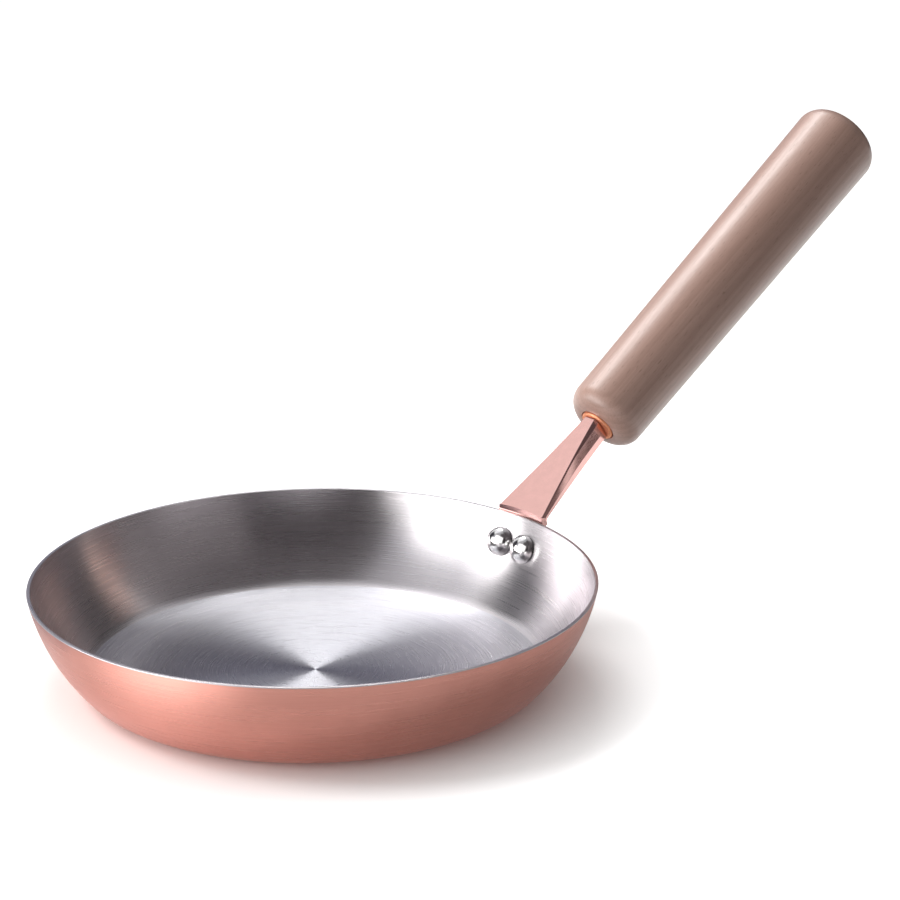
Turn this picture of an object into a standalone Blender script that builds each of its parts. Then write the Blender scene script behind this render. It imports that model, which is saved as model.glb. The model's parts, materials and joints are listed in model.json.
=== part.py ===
"""Copper pancake pan with a riveted stem and a turned wooden grip.

The pan stands on the XY plane, centred on the Z axis, and its handle points along +X.
All lengths are in metres. Run it with: blender --background --python part.py
"""
import math

import bmesh
import bpy
from mathutils import Matrix, Vector

# Fits between pieces that touch on the real pan
FIT_GAP = 0.0003

# Pan body
RIM_RADIUS = 0.1000
PAN_HEIGHT = 0.0361
BASE_RADIUS = 0.0744
CORNER_RADIUS = 0.0130
CORNER_ANGLE = math.radians(48.2)
COPPER_PLY = 0.0005
STEEL_PLY = 0.0004
RIM_LIP = 0.0004
RIM_CHAMFER = 0.0002

# Handle axis, which leaves the wall just above the rim
HANDLE_ELEVATION = math.radians(34.7)
ROOT_OUTSIDE_RIM = 0.0015
ROOT_ABOVE_RIM = 0.0011
STEM_REACH = 0.0466

# Stem, a faceted casting that is wide and flat at the pan and narrow and tall at the grip
STEM_ROOT_HALF_WIDTH = 0.01115
STEM_END_HALF_WIDTH = 0.00225
STEM_ROOT_RISE = 0.00180
STEM_ROOT_DROP = 0.00100
STEM_END_HALF_HEIGHT = 0.00550
STEM_TAPER_POWER = 1.15
CHAMFER_AT_ROOT = 0.00040
CHAMFER_AT_END = 0.00145
CHAMFER_RUN = 0.0240
SIDE_DRAFT = 0.00035
PARTING_AT_ROOT = 0.00050
PARTING_AT_END = -0.00090
UNDER_FILLET = 0.0018
STEM_BURIED = 0.0040

# Flange that hugs the outer wall under the rim
FLANGE_THICKNESS = 0.0015
FLANGE_RISE = 0.0020
FLANGE_DROP = 0.0215
FLANGE_TOP_HALF_WIDTH = 0.0116
FLANGE_HALF_WIDTH = 0.0136
FLANGE_SHOULDER_DROP = 0.0090
FLANGE_CORNER_RADIUS = 0.0085

# Rivets
RIVET_SPACING = 0.0128
RIVET_DROP = 0.0112
RIVET_SHANK_RADIUS = 0.0026
RIVET_HEAD_RADIUS = 0.0055
RIVET_HEAD_HEIGHT = 0.0044
RIVET_TAIL_RADIUS = 0.0046
RIVET_TAIL_HEIGHT = 0.0018

# Wooden grip
GRIP_LENGTH = 0.1685
GRIP_NEAR_RADIUS = 0.01518
GRIP_FAR_RADIUS = 0.01734
GRIP_FAR_ROUND = 0.0069
GRIP_NEAR_LAND = 0.0006

# Collar that closes the end of the grip around the stem, and stands a little proud of it
COLLAR_RADIUS = 0.0070
COLLAR_THICKNESS = 0.0044
COLLAR_PROUD = 0.0009
COLLAR_EDGE_ROUND = 0.0012

# Stud and threaded insert that hold the grip on the stem
STUD_RADIUS = 0.0024
STUD_IN_STEM = 0.0130
STUD_IN_GRIP = 0.0440
STUD_END_CHAMFER = 0.0006
INSERT_RADIUS = 0.0044
INSERT_ROOT_RADIUS = 0.0039
INSERT_LENGTH = 0.0225
INSERT_RIDGES = 6

# Facets
BODY_STEPS = 72
CUTTER_STEPS = 288
GRIP_STEPS = 40
SMALL_STEPS = 24
WALL_STEPS = 4
CORNER_STEPS = 4
STEM_STATIONS = 12
FILLET_STATIONS = 4
FLANGE_CORNER_STEPS = 8
DOME_STEPS = 6
GRIP_ROUND_STEPS = 7
COLLAR_ROUND_STEPS = 3
MERGE = 0.00001
SMOOTH_ANGLE = math.radians(32.0)

PAN_WALL = COPPER_PLY + STEEL_PLY + FIT_GAP
SOCKET_RADIUS = COLLAR_RADIUS + FIT_GAP
SOCKET_DEPTH = COLLAR_THICKNESS - COLLAR_PROUD + FIT_GAP
ENVELOPE_RISE = 0.0100


def clear_scene():
    """Remove every object, so that the script starts from an empty file."""
    for old in list(bpy.data.objects):
        bpy.data.objects.remove(old, do_unlink=True)


def new_collection(name):
    """Return a new collection that is linked to the scene."""
    made = bpy.data.collections.new(name)
    bpy.context.scene.collection.children.link(made)
    return made


def new_material(name, colour, metallic, roughness):
    """Return a Principled material with one plain colour."""
    made = bpy.data.materials.new(name)
    made.use_nodes = True
    shader = made.node_tree.nodes["Principled BSDF"]
    shader.inputs["Base Color"].default_value = (*colour, 1.0)
    shader.inputs["Metallic"].default_value = metallic
    shader.inputs["Roughness"].default_value = roughness
    made.diffuse_color = (*colour, 1.0)
    return made


class PanWall:
    """Outer surface of the pan in section: flat base, corner arc and convex wall arc."""

    def __init__(self):
        self.corner = Vector((BASE_RADIUS, CORNER_RADIUS))
        foot = self.corner_point(0.0, CORNER_ANGLE)
        inward = Vector((-math.sin(CORNER_ANGLE), math.cos(CORNER_ANGLE)))
        chord = Vector((RIM_RADIUS, PAN_HEIGHT)) - foot
        self.radius = chord.length_squared / (2 * inward.dot(chord))
        self.centre = foot + inward * self.radius

    def corner_point(self, inset, angle):
        """Point on the corner arc, inset from the outer surface."""
        reach = CORNER_RADIUS - inset
        return self.corner + Vector((reach * math.sin(angle), -reach * math.cos(angle)))

    def radius_at(self, inset, height):
        """Radius of the wall at a height, inset from the outer surface."""
        reach = self.radius - inset
        drop = self.centre.y - height
        return self.centre.x + math.sqrt(reach * reach - drop * drop)

    def slope_at(self, height):
        """Angle of the outer wall above the horizontal at a height."""
        drop = self.centre.y - height
        return math.pi / 2 - math.asin(drop / self.radius)

    def outline(self, inset, top):
        """Points from a height on the wall down to the flat base, inset from the outer surface."""
        reach = self.radius - inset
        start = math.asin((self.centre.y - top) / reach)
        end = math.pi / 2 - CORNER_ANGLE
        points = []
        for i in range(WALL_STEPS):
            angle = start + (end - start) * i / WALL_STEPS
            points.append((self.centre.x + reach * math.cos(angle), self.centre.y - reach * math.sin(angle)))
        for i in range(CORNER_STEPS + 1):
            angle = CORNER_ANGLE * (1 - i / CORNER_STEPS)
            points.append(tuple(self.corner_point(inset, angle)))
        return points


def turned(name, profile, material, home, steps, closed=False):
    """Turn a profile of (radius, height) points around the local Z axis with a Screw modifier."""
    mesh = bpy.data.meshes.new(name)
    edges = [(i, i + 1) for i in range(len(profile) - 1)]
    if closed:
        edges.append((len(profile) - 1, 0))
    mesh.from_pydata([(radius, 0.0, height) for radius, height in profile], edges, [])
    made = bpy.data.objects.new(name, mesh)
    home.objects.link(made)
    screw = made.modifiers.new("turn", "SCREW")
    screw.axis = "Z"
    screw.angle = 2 * math.pi
    screw.steps = steps
    screw.render_steps = steps
    screw.use_merge_vertices = True
    screw.merge_threshold = MERGE
    screw.use_smooth_shade = True
    if material:
        mesh.materials.append(material)
    return made


def boolean(target, tool, operation):
    """Add an exact Boolean modifier."""
    step = target.modifiers.new(tool.name, "BOOLEAN")
    step.operation = operation
    step.object = tool
    step.solver = "EXACT"


def as_cutter(tool):
    """Hide a construction object from the finished model."""
    tool.hide_render = True
    tool.display_type = "WIRE"
    return tool


def arc(centre, radius, start, end, steps):
    """Points of an arc in a profile, with angles in radians from the radius axis."""
    points = []
    for i in range(steps + 1):
        angle = start + (end - start) * i / steps
        points.append((centre[0] + radius * math.cos(angle), centre[1] + radius * math.sin(angle)))
    return points


def ply(name, wall, outer_inset, inner_inset, top, material, home):
    """One sheet of the bonded body, between two insets from the outer surface."""
    inner = [(0.0, inner_inset)] + wall.outline(inner_inset, top)[::-1]
    outer = wall.outline(outer_inset, top) + [(0.0, outer_inset)]
    return turned(name, inner + outer, material, home, BODY_STEPS)


def make_lining(wall, material, home):
    """Steel inside of the pan, whose edge is turned out over the copper."""
    outer_inset = PAN_WALL - STEEL_PLY
    lip_under = PAN_HEIGHT - RIM_LIP
    inner_wall = wall.outline(PAN_WALL, PAN_HEIGHT - RIM_CHAMFER)[::-1]
    outer_wall = wall.outline(outer_inset, lip_under)
    rim_inside = inner_wall[-1][0]
    lip = [
        (rim_inside + RIM_CHAMFER, PAN_HEIGHT),
        (RIM_RADIUS, PAN_HEIGHT),
        (wall.radius_at(0.0, lip_under), lip_under),
    ]
    profile = [(0.0, PAN_WALL)] + inner_wall + lip + outer_wall + [(0.0, outer_inset)]
    return turned("steel_lining", profile, material, home, BODY_STEPS)


def pan_envelope(name, wall, offset, home):
    """Solid that fills the pan and grows from its outer wall, carried upright above the rim."""
    top = PAN_HEIGHT + ENVELOPE_RISE
    rim = wall.radius_at(-offset, PAN_HEIGHT)
    profile = [(0.0, top), (rim, top)]
    profile += wall.outline(-offset, PAN_HEIGHT) + [(0.0, -offset)]
    return as_cutter(turned(name, profile, None, home, CUTTER_STEPS))


def loft(name, rings, home):
    """Skin a list of point rings into one closed solid with flat ends."""
    shape = bmesh.new()
    rows = [[shape.verts.new(point) for point in ring] for ring in rings]
    for row, following in zip(rows, rows[1:]):
        count = len(row)
        for i in range(count):
            j = (i + 1) % count
            shape.faces.new((row[i], row[j], following[j], following[i]))
    shape.faces.new(rows[0][::-1])
    shape.faces.new(rows[-1])
    bmesh.ops.recalc_face_normals(shape, faces=shape.faces)
    mesh = bpy.data.meshes.new(name)
    shape.to_mesh(mesh)
    shape.free()
    made = bpy.data.objects.new(name, mesh)
    home.objects.link(made)
    return made


def blend(start, end, share):
    """Straight-line blend of two values."""
    return start + (end - start) * share


def smooth(share):
    """Ease a share between 0 and 1."""
    held = min(max(share, 0.0), 1.0)
    return held * held * (3 - 2 * held)


def stem_section(along):
    """Ten corners of the stem at a distance along the handle axis, measured from the grip's end.

    A corner is (height, width, distance along the axis): the stem has a top and a bottom face,
    four chamfers and two drafted sides that meet at a parting line.
    """
    from_grip = min(max(-along, 0.0), STEM_REACH)
    share = from_grip / STEM_REACH
    half_width = blend(STEM_END_HALF_WIDTH, STEM_ROOT_HALF_WIDTH, share ** STEM_TAPER_POWER)
    top = blend(STEM_END_HALF_HEIGHT, STEM_ROOT_RISE, share)
    chamfer = blend(CHAMFER_AT_END, CHAMFER_AT_ROOT, smooth(from_grip / CHAMFER_RUN))
    parting = blend(PARTING_AT_END, PARTING_AT_ROOT, share)
    turn = (from_grip - (STEM_REACH - UNDER_FILLET)) / UNDER_FILLET
    dip = UNDER_FILLET * (1 - math.sqrt(1 - min(max(turn, 0.0), 1.0) ** 2))
    bottom = blend(STEM_END_HALF_HEIGHT, STEM_ROOT_DROP, share) + dip
    side = half_width + chamfer
    right = [
        (top, half_width),
        (top - chamfer, side),
        (parting, side + SIDE_DRAFT),
        (chamfer - bottom, side),
        (-bottom, half_width),
    ]
    left = [(height, -width) for height, width in reversed(right)]
    return [(-height, width, along) for height, width in right + left]


def make_stem(home):
    """Loft the stem's sections along the handle axis, closer together where it curves."""
    end = -COLLAR_PROUD - FIT_GAP
    fillet_start = UNDER_FILLET - STEM_REACH
    stations = [end + (fillet_start - end) * i / STEM_STATIONS for i in range(STEM_STATIONS)]
    for i in range(FILLET_STATIONS + 1):
        stations.append(fillet_start - UNDER_FILLET * math.sin(math.pi / 2 * i / FILLET_STATIONS))
    stations.append(-STEM_REACH - STEM_BURIED)
    return as_cutter(loft("stem_form", [stem_section(along) for along in stations], home))


def flange_outline():
    """Half outline of the flange as (width, height above the rim), from the top down to its foot."""
    top = (FLANGE_TOP_HALF_WIDTH, FLANGE_RISE)
    shoulder = (FLANGE_HALF_WIDTH, -FLANGE_SHOULDER_DROP)
    corner_centre = (FLANGE_HALF_WIDTH - FLANGE_CORNER_RADIUS, FLANGE_CORNER_RADIUS - FLANGE_DROP)
    corner = arc(corner_centre, FLANGE_CORNER_RADIUS, 0.0, -math.pi / 2, FLANGE_CORNER_STEPS)
    return [top, shoulder] + corner


def make_bracket(wall, seat, handle, bores, material, home, cutters):
    """Handle casting: a curved flange, riveted to the wall, that runs up into the faceted stem."""
    half = flange_outline()
    outline = half + [(-width, height) for width, height in reversed(half)]
    near = RIM_RADIUS - FLANGE_DROP
    far = RIM_RADIUS + FLANGE_DROP
    rings = []
    for distance in (near, far):
        rings.append([(distance, width, PAN_HEIGHT + height) for width, height in outline])
    bracket = loft("handle_bracket", rings, home)
    bracket.data.materials.append(material)
    outside = pan_envelope("flange_outside", wall, FIT_GAP + FLANGE_THICKNESS, cutters)
    boolean(bracket, outside, "INTERSECT")
    stem = make_stem(cutters)
    stem.parent = handle
    boolean(bracket, stem, "UNION")
    boolean(bracket, seat, "DIFFERENCE")
    for bore in bores:
        boolean(bracket, bore, "DIFFERENCE")
    return bracket


def stud_bore(handle, home):
    """Tapped hole in the end of the stem."""
    depth = STUD_IN_STEM + FIT_GAP
    radius = STUD_RADIUS + FIT_GAP
    profile = [(0.0, SOCKET_DEPTH), (radius, SOCKET_DEPTH), (radius, -depth), (0.0, -depth)]
    bore = as_cutter(turned("stud_bore", profile, None, home, SMALL_STEPS))
    bore.parent = handle
    return bore


def rivet_frame(wall, side):
    """Matrix whose origin is on the outer wall and whose Z axis points square into the pan."""
    height = PAN_HEIGHT - RIVET_DROP
    radius = wall.radius_at(0.0, height)
    tilt = wall.slope_at(height)
    turn = Matrix.Rotation(math.asin(side * RIVET_SPACING / 2 / radius), 4, "Z")
    lean = Matrix.Rotation(-tilt, 4, "Y")
    return turn @ Matrix.Translation((radius, 0.0, height)) @ lean


def dome(radius, rise, seat, direction):
    """Profile points of a domed head, from its edge to its crown."""
    points = []
    for i in range(DOME_STEPS + 1):
        angle = math.pi / 2 * i / DOME_STEPS
        points.append((radius * math.cos(angle), seat + direction * rise * math.sin(angle)))
    points[-1] = (0.0, seat + direction * rise)
    return points


def make_rivet(name, wall, frame, material, home):
    """Rivet with a round head inside the pan and a low closed head on the flange."""
    hollow = RIVET_HEAD_RADIUS ** 2 / (2 * (wall.radius - PAN_WALL))
    inside = PAN_WALL + FIT_GAP + hollow
    outside = -(2 * FIT_GAP + FLANGE_THICKNESS)
    head = dome(RIVET_HEAD_RADIUS, RIVET_HEAD_HEIGHT, inside, 1)[::-1]
    tail = dome(RIVET_TAIL_RADIUS, RIVET_TAIL_HEIGHT, outside, -1)
    shank = [(RIVET_SHANK_RADIUS, inside), (RIVET_SHANK_RADIUS, outside)]
    rivet = turned(name, head + shank + tail, material, home, SMALL_STEPS)
    rivet.matrix_world = frame
    return rivet


def rivet_bore(name, frame, home):
    """Straight hole for a rivet through the wall and the flange."""
    radius = RIVET_SHANK_RADIUS + FIT_GAP
    reach = 2 * (PAN_WALL + FLANGE_THICKNESS)
    profile = [(0.0, reach), (radius, reach), (radius, -reach), (0.0, -reach)]
    bore = as_cutter(turned(name, profile, None, home, SMALL_STEPS))
    bore.matrix_world = frame
    return bore


def make_grip(handle, material, home):
    """Turned wooden grip with a socket for the collar and a stepped bore for its fastening."""
    near_round = GRIP_NEAR_RADIUS - SOCKET_RADIUS - GRIP_NEAR_LAND
    taper = (GRIP_FAR_RADIUS - GRIP_NEAR_RADIUS) / GRIP_LENGTH
    far_centre = (GRIP_FAR_RADIUS - GRIP_FAR_ROUND, GRIP_LENGTH - GRIP_FAR_ROUND)
    near_centre = (GRIP_NEAR_RADIUS - near_round, near_round)
    lean = math.atan(taper)
    insert_bore = INSERT_RADIUS + FIT_GAP
    insert_floor = SOCKET_DEPTH + INSERT_LENGTH + 2 * FIT_GAP
    stud_hole = STUD_RADIUS + FIT_GAP
    stud_floor = STUD_IN_GRIP + FIT_GAP
    profile = [(0.0, GRIP_LENGTH)]
    profile += arc(far_centre, GRIP_FAR_ROUND, math.pi / 2, -lean, GRIP_ROUND_STEPS)
    profile += arc(near_centre, near_round, -lean, -math.pi / 2, GRIP_ROUND_STEPS)
    profile += [
        (SOCKET_RADIUS, 0.0),
        (SOCKET_RADIUS, SOCKET_DEPTH),
        (insert_bore, SOCKET_DEPTH),
        (insert_bore, insert_floor),
        (stud_hole, insert_floor),
        (stud_hole, stud_floor),
        (0.0, stud_floor),
    ]
    grip = turned("wooden_grip", profile, material, home, GRIP_STEPS)
    grip.parent = handle
    return grip


def make_collar(handle, material, home):
    """Ring let into the end of the grip, which the stem's end stands on."""
    bore = STUD_RADIUS + FIT_GAP
    front = -COLLAR_PROUD
    back = front + COLLAR_THICKNESS
    edge_centre = (COLLAR_RADIUS - COLLAR_EDGE_ROUND, front + COLLAR_EDGE_ROUND)
    profile = [(bore, back), (COLLAR_RADIUS, back)]
    profile += arc(edge_centre, COLLAR_EDGE_ROUND, 0.0, -math.pi / 2, COLLAR_ROUND_STEPS)
    profile.append((bore, front))
    collar = turned("grip_collar", profile, material, home, GRIP_STEPS, closed=True)
    collar.parent = handle
    return collar


def make_stud(handle, material, home):
    """Threaded rod, screwed into the stem and the insert."""
    waist = STUD_RADIUS - STUD_END_CHAMFER
    profile = [
        (0.0, STUD_IN_GRIP),
        (waist, STUD_IN_GRIP),
        (STUD_RADIUS, STUD_IN_GRIP - STUD_END_CHAMFER),
        (STUD_RADIUS, STUD_END_CHAMFER - STUD_IN_STEM),
        (waist, -STUD_IN_STEM),
        (0.0, -STUD_IN_STEM),
    ]
    stud = turned("handle_stud", profile, material, home, SMALL_STEPS)
    stud.parent = handle
    return stud


def make_insert(handle, material, home):
    """Ridged sleeve in the wood that takes the stud."""
    bore = STUD_RADIUS + FIT_GAP
    front = SOCKET_DEPTH + FIT_GAP
    back = front + INSERT_LENGTH
    pitch = INSERT_LENGTH / INSERT_RIDGES
    profile = [(bore, back)]
    for i in range(INSERT_RIDGES):
        crest = back - i * pitch
        profile.append((INSERT_RADIUS, crest))
        profile.append((INSERT_ROOT_RADIUS, crest - pitch / 2))
    profile += [(INSERT_RADIUS, front), (bore, front)]
    insert = turned("threaded_insert", profile, material, home, SMALL_STEPS, closed=True)
    insert.parent = handle
    return insert


def handle_axis(home):
    """Empty at the grip's near end whose Z axis runs along the handle, away from the pan."""
    root = Vector((RIM_RADIUS + ROOT_OUTSIDE_RIM, 0.0, PAN_HEIGHT + ROOT_ABOVE_RIM))
    along = Vector((math.cos(HANDLE_ELEVATION), 0.0, math.sin(HANDLE_ELEVATION)))
    axis = bpy.data.objects.new("handle_axis", None)
    axis.location = root + along * STEM_REACH
    axis.rotation_euler = (0.0, math.pi / 2 - HANDLE_ELEVATION, 0.0)
    home.objects.link(axis)
    return axis


def smooth_round_faces(home):
    """Shade meshes smooth, with creases kept sharp."""
    for piece in home.objects:
        if piece.type == "MESH":
            piece.data.shade_smooth()
            piece.data.set_sharp_from_angle(angle=SMOOTH_ANGLE)


def main():
    """Build the whole pan."""
    clear_scene()
    parts = new_collection("copper_pancake_pan")
    cutters = new_collection("cutters")

    copper = new_material("copper", (0.72, 0.33, 0.24), 1.0, 0.34)
    brushed_steel = new_material("brushed_steel", (0.66, 0.66, 0.67), 1.0, 0.30)
    polished_steel = new_material("polished_steel", (0.78, 0.78, 0.79), 1.0, 0.08)
    polished_copper = new_material("polished_copper", (0.83, 0.47, 0.38), 1.0, 0.10)
    collar_copper = new_material("collar_copper", (0.80, 0.36, 0.22), 1.0, 0.22)
    zinc_steel = new_material("zinc_steel", (0.60, 0.61, 0.62), 1.0, 0.40)
    brass = new_material("brass", (0.75, 0.58, 0.28), 1.0, 0.35)
    beech = new_material("beech", (0.52, 0.38, 0.31), 0.0, 0.42)

    wall = PanWall()
    handle = handle_axis(parts)
    frames = {"left": rivet_frame(wall, 1), "right": rivet_frame(wall, -1)}
    rivet_bores = [rivet_bore(f"rivet_bore_{side}", frame, cutters) for side, frame in frames.items()]

    sheet_top = PAN_HEIGHT - RIM_LIP - FIT_GAP
    shell = ply("copper_shell", wall, 0.0, COPPER_PLY, sheet_top, copper, parts)
    lining = make_lining(wall, brushed_steel, parts)
    for sheet in (shell, lining):
        for bore in rivet_bores:
            boolean(sheet, bore, "DIFFERENCE")

    seat = pan_envelope("flange_seat", wall, FIT_GAP, cutters)
    bores = rivet_bores + [stud_bore(handle, cutters)]
    make_bracket(wall, seat, handle, bores, polished_copper, parts, cutters)
    for side, frame in frames.items():
        make_rivet(f"rivet_{side}", wall, frame, polished_steel, parts)

    make_collar(handle, collar_copper, parts)
    make_stud(handle, zinc_steel, parts)
    make_insert(handle, brass, parts)
    make_grip(handle, beech, parts)
    smooth_round_faces(parts)


main()
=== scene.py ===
"""Copper pancake pan: fine meshes, finishes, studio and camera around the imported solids.

The pan stands on the XY plane, centred on the Z axis, and its handle points along +X.
All lengths are in metres.
"""
import json
import logging
import math
from collections.abc import Sequence
from dataclasses import dataclass
from enum import Enum

import bmesh
import bpy
from mathutils import Matrix, Vector

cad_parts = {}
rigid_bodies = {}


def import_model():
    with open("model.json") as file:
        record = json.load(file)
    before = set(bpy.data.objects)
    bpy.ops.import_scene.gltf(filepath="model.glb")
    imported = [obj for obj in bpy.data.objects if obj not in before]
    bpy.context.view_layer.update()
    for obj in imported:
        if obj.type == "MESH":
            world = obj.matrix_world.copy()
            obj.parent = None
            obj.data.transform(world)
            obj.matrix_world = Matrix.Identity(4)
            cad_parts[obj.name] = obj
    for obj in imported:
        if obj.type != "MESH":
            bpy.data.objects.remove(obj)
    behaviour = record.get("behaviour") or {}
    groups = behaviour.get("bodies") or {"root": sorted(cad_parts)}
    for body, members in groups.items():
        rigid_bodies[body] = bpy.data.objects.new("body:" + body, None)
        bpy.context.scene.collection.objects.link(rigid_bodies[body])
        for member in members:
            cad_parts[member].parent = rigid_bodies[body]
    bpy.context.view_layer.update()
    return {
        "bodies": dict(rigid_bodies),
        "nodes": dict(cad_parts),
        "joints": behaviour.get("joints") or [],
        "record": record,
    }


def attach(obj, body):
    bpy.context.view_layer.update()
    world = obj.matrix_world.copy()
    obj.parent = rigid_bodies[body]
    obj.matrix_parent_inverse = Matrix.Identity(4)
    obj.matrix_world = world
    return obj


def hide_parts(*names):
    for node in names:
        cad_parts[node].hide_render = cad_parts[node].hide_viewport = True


log = logging.getLogger("pancake_pan")

BODY = "root"
FIT_GAP = 0.0003
MERGE = 0.000001
SHARP_EDGE = math.radians(28.0)
VIEW_TURN = math.radians(-41.691)
RIVETS = ("rivet_left_round", "rivet_right_round")
SEEN_RAYS = ("Is Camera Ray", "Is Transmission Ray", "Is Glossy Ray")
Point2 = tuple[float, float]
Triple = tuple[float, float, float]
Piece = bpy.types.Object
Shape = bmesh.types.BMesh
Socket = bpy.types.NodeSocket


class Slot(Enum):
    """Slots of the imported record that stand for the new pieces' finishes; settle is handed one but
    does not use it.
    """

    COPPER = "copper"
    BRUSHED_STEEL = "brushed_steel"
    POLISHED_STEEL = "polished_steel"
    POLISHED_COPPER = "polished_copper"
    COLLAR_COPPER = "collar_copper"
    BEECH = "beech"


# Mesh tools


def even(start: float, end: float, steps: int) -> list[float]:
    """Evenly spaced values from start to end, with both."""
    return [start + (end - start) * i / steps for i in range(steps + 1)]


def mixed(first: float, last: float, share: float) -> float:
    """Value at a share of the way from the first to the last."""
    return first + (last - first) * share


def arc(centre: Point2, radius: float, start: float, end: float, steps: int) -> list[Point2]:
    """Points of an arc in a section, with both ends.

    Args:
        centre: Centre of the arc as (radius, height).
        radius: Radius of the arc.
        start: First angle in radians, from the radius direction.
        end: Last angle in radians.
        steps: Number of straight pieces.

    Returns:
        The points from start to end.
    """
    return [
        (centre[0] + radius * math.cos(angle), centre[1] + radius * math.sin(angle))
        for angle in even(start, end, steps)
    ]


def cleaned(shape: Shape, reach: float) -> None:
    """Join the corners that lie within a reach of each other and drop the empty faces."""
    bmesh.ops.remove_doubles(shape, verts=shape.verts, dist=reach)
    bmesh.ops.dissolve_degenerate(shape, edges=shape.edges, dist=MERGE)


def bends(shape: Shape, angle: float) -> list[bmesh.types.BMEdge]:
    """Edges whose two faces turn by more than an angle in radians."""
    return [edge for edge in shape.edges if edge.is_manifold and edge.calc_face_angle() > angle]


def rounded(shape: Shape, edges: Sequence[bmesh.types.BMEdge], radius: float, steps: int) -> None:
    """Round edges of a shape with a number of facets."""
    bmesh.ops.bevel(
        shape, geom=edges, offset=radius, offset_type="OFFSET", segments=steps,
        profile=0.5, affect="EDGES", material=-1, clamp_overlap=True,
    )


def placed(name: str, data: bpy.types.ID) -> Piece:
    """New object with its data, linked to the scene."""
    piece = bpy.data.objects.new(name, data)
    bpy.context.scene.collection.objects.link(piece)
    return piece


def finished(
    name: str, shape: Shape, place: Matrix = Matrix.Identity(4), sharp: float = SHARP_EDGE
) -> Piece:
    """Turn a bmesh into a smooth-shaded object at the origin, with its place in its mesh.

    Args:
        name: Name of the piece.
        shape: The bmesh, which is freed.
        place: Matrix from the piece's own frame to the pan's frame.
        sharp: Edges that turn by more than this angle in radians stay sharp.

    Returns:
        The new object, linked to the scene.
    """
    cleaned(shape, MERGE)
    bmesh.ops.recalc_face_normals(shape, faces=shape.faces)
    bmesh.ops.transform(shape, matrix=place, verts=shape.verts)
    mesh = bpy.data.meshes.new(name)
    shape.to_mesh(mesh)
    shape.free()
    mesh.shade_smooth()
    mesh.set_sharp_from_angle(angle=sharp)
    return placed(name, mesh)


def spun(
    name: str,
    section: Sequence[Point2],
    steps: int,
    place: Matrix = Matrix.Identity(4),
    closed: bool = False,
    sharp: float = SHARP_EDGE,
) -> Piece:
    """Spin a section around the Z axis of its own frame.

    Args:
        name: Name of the piece.
        section: Points as (radius, height).
        steps: Number of steps in the full turn.
        place: Matrix from the piece's own frame to the pan's frame.
        closed: True if the section's last point joins its first.
        sharp: Edges that turn by more than this angle in radians stay sharp.

    Returns:
        The spun object.
    """
    shape = bmesh.new()
    points = [shape.verts.new((radius, 0.0, height)) for radius, height in section]
    for start, end in zip(points, points[1:]):
        shape.edges.new((start, end))
    if closed:
        shape.edges.new((points[-1], points[0]))
    outline = shape.verts[:] + shape.edges[:]
    bmesh.ops.spin(
        shape, geom=outline, cent=(0, 0, 0), axis=(0, 0, 1),
        angle=2 * math.pi, steps=steps, use_merge=True,
    )
    return finished(name, shape, place, sharp)


def sealed(piece: Piece) -> None:
    """Clean the mesh of a piece after a cut."""
    shape = bmesh.new()
    shape.from_mesh(piece.data)
    cleaned(shape, 3 * MERGE)
    shape.to_mesh(piece.data)
    shape.free()


def applied(piece: Piece) -> None:
    """Bake a piece's modifiers into its mesh."""
    graph = bpy.context.evaluated_depsgraph_get()
    baked = bpy.data.meshes.new_from_object(piece.evaluated_get(graph), depsgraph=graph)
    plain = piece.data
    piece.modifiers.clear()
    piece.data = baked
    baked.name = piece.name
    bpy.data.meshes.remove(plain)


def combined(piece: Piece, tools: Sequence[Piece], operation: str) -> None:
    """Join or cut a piece with other solids, which are used up.

    Args:
        piece: The solid that stays.
        tools: The solids that are joined to it or cut from it.
        operation: UNION or DIFFERENCE.
    """
    for tool in tools:
        step = piece.modifiers.new(tool.name, "BOOLEAN")
        step.operation = operation
        step.object = tool
        step.solver = "EXACT"
    bpy.context.view_layer.update()
    applied(piece)
    for tool in tools:
        mesh = tool.data
        bpy.data.objects.remove(tool)
        bpy.data.meshes.remove(mesh)


# Finishes


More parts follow.
